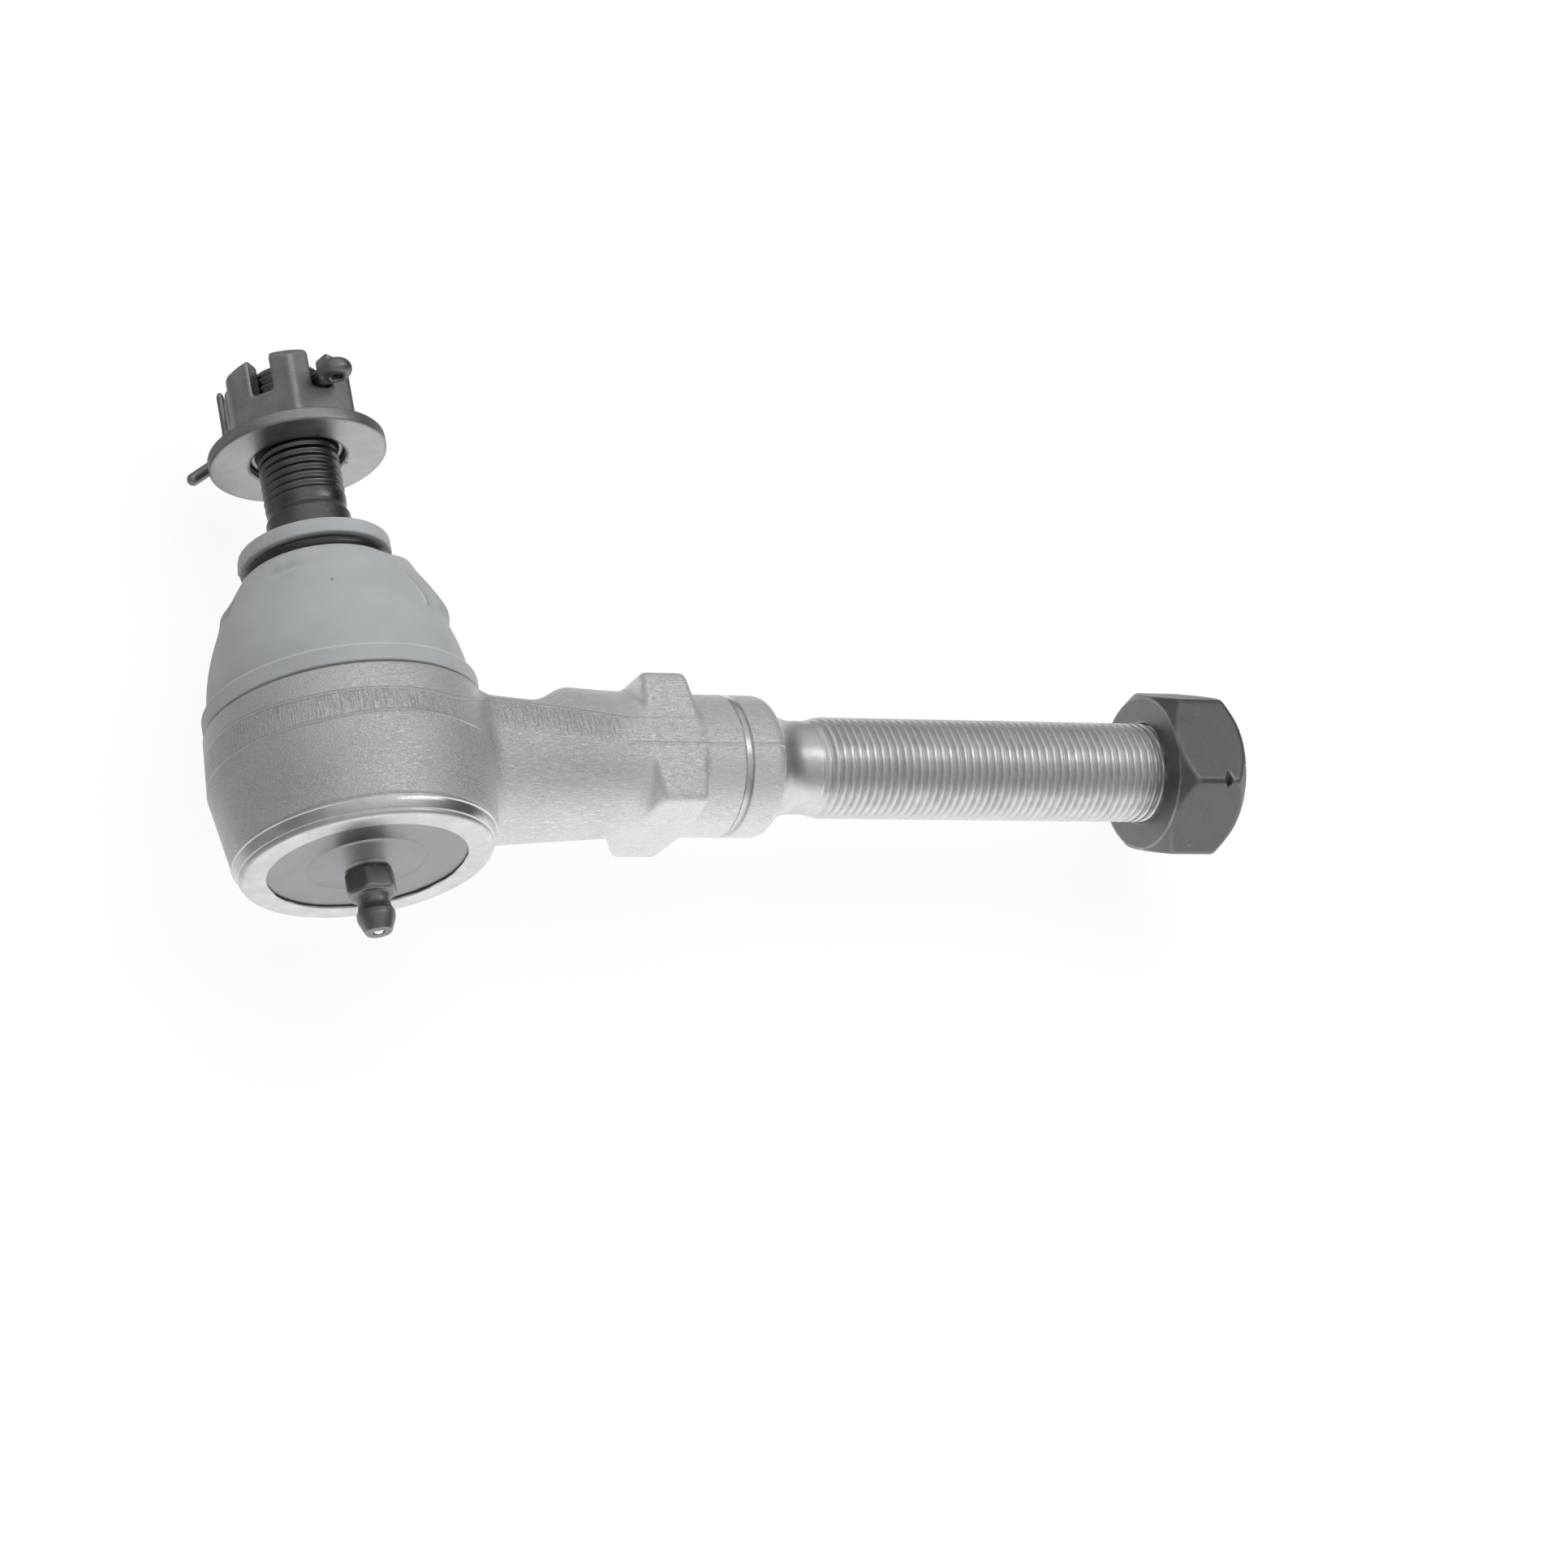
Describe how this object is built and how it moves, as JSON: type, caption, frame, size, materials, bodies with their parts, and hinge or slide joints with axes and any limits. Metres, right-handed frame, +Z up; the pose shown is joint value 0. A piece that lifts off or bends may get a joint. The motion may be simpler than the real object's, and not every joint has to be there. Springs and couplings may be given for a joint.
{
  "type": "tie rod end",
  "caption": "Steering tie rod end: forged socket with a ball stud, rubber dust boot, castle nut with cotter pin, grease fitting, wrench square and a threaded shank with a jam nut.",
  "frame": {"origin": "centre of the stud's ball, where the stud's axis and the shank's axis cross", "axes": "+X along the shank towards its threaded end, +Y along the stud towards its nut, +Z up from the side that the part lies on"},
  "size_m": [0.1931, 0.1088, 0.049],
  "materials": {
    "forged_steel": "blasted forging with machined rim, collar groove and thread",
    "bearing_polymer": "moulded",
    "spring_steel": "oiled",
    "plate_steel": "satin pressed",
    "dark_steel": "dark plated",
    "bright_steel": "polished",
    "boot_rubber": "satin grey",
    "ring_rubber": "glossy black",
    "phosphate_steel": "dark phosphate, lightly oiled"
  },
  "bodies": {
    "housing": {"housing": "forged_steel", "upper_bearing": "bearing_polymer", "lower_seat": "bearing_polymer", "preload_spring": "spring_steel", "cover_plate": "plate_steel", "grease_fitting_body": "dark_steel", "grease_check_spring": "spring_steel", "dust_boot": "boot_rubber", "boot_base_ring": "spring_steel"},
    "liner": {"bearing_liner": "bearing_polymer"},
    "boot_neck": {"boot_neck_ring": "ring_rubber"},
    "stud": {"ball_stud": "phosphate_steel", "castle_nut": "phosphate_steel", "cotter_pin": "dark_steel"},
    "washer": {"captive_washer": "phosphate_steel"},
    "check_ball": {"grease_check_ball": "bright_steel"},
    "jam_nut": {"jam_nut": "phosphate_steel"}
  },
  "joints": [
    {"name": "swing_side", "type": "hinge", "parent": "housing", "child": "liner", "pos_m": [0, 0, 0], "axis": [1, 0, 0], "range_deg": [-18, 18], "deforming": ["dust_boot"]},
    {"name": "swing_along", "type": "hinge", "parent": "liner", "child": "boot_neck", "pos_m": [0, 0, 0], "axis": [0, 0, 1], "range_deg": [-18, 18], "deforming": ["dust_boot"]},
    {"name": "stud_spin", "type": "hinge", "parent": "boot_neck", "child": "stud", "pos_m": [0, 0, 0], "axis": [0, 1, 0], "continuous": true},
    {"name": "washer_spin", "type": "hinge", "parent": "stud", "child": "washer", "pos_m": [0, 0.058, 0], "axis": [0, 1, 0], "continuous": true},
    {"name": "check_ball_push", "type": "slide", "parent": "housing", "child": "check_ball", "axis": [0, 1, 0], "range_m": [0, 0.0009], "stiffness_N_per_m": 250, "springref_m": -0.0008, "deforming": ["grease_check_spring"]},
    {"name": "jam_nut_slide", "type": "slide", "parent": "housing", "child": "jam_nut", "axis": [1, 0, 0], "range_m": [-0.064, 0]}
  ]
}
